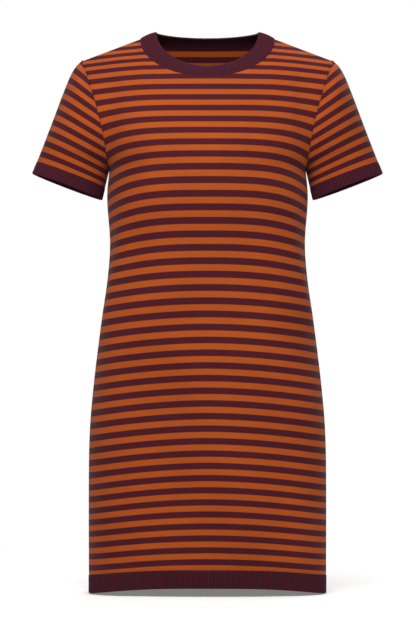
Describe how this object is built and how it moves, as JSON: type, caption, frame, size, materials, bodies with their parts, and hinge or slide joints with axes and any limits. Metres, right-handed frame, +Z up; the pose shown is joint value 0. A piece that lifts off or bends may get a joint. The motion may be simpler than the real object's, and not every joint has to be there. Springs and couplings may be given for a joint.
{
  "type": "short-sleeved striped jumper dress",
  "caption": "Knitted jumper dress with short set-in sleeves, ribbed crew neckband, ribbed cuffs and ribbed hem, filled out and open at neck, cuffs and hem.",
  "frame": {"origin": "midway between the two high shoulder points, where the shoulder seams meet the neck seam; the wearer's shoulders hold the dress at this level", "axes": "+Z up, along the dress from hem to neck; -Y is the front; +X is the wearer's left, seen on the right from the front"},
  "size_m": [0.5502, 0.2372, 0.88],
  "materials": {
    "striped_jersey": "fine jersey knit in burnt orange and dark maroon stripes of equal width; the colour given is their average",
    "maroon_rib": "dark maroon rib knit"
  },
  "bodies": {
    "root": {"front_panel": "striped_jersey", "back_panel": "striped_jersey", "sleeve_left": "striped_jersey", "sleeve_right": "striped_jersey", "neckband": "maroon_rib", "cuff_left": "maroon_rib", "cuff_right": "maroon_rib", "hem_band_front": "maroon_rib", "hem_band_back": "maroon_rib"}
  },
  "joints": []
}
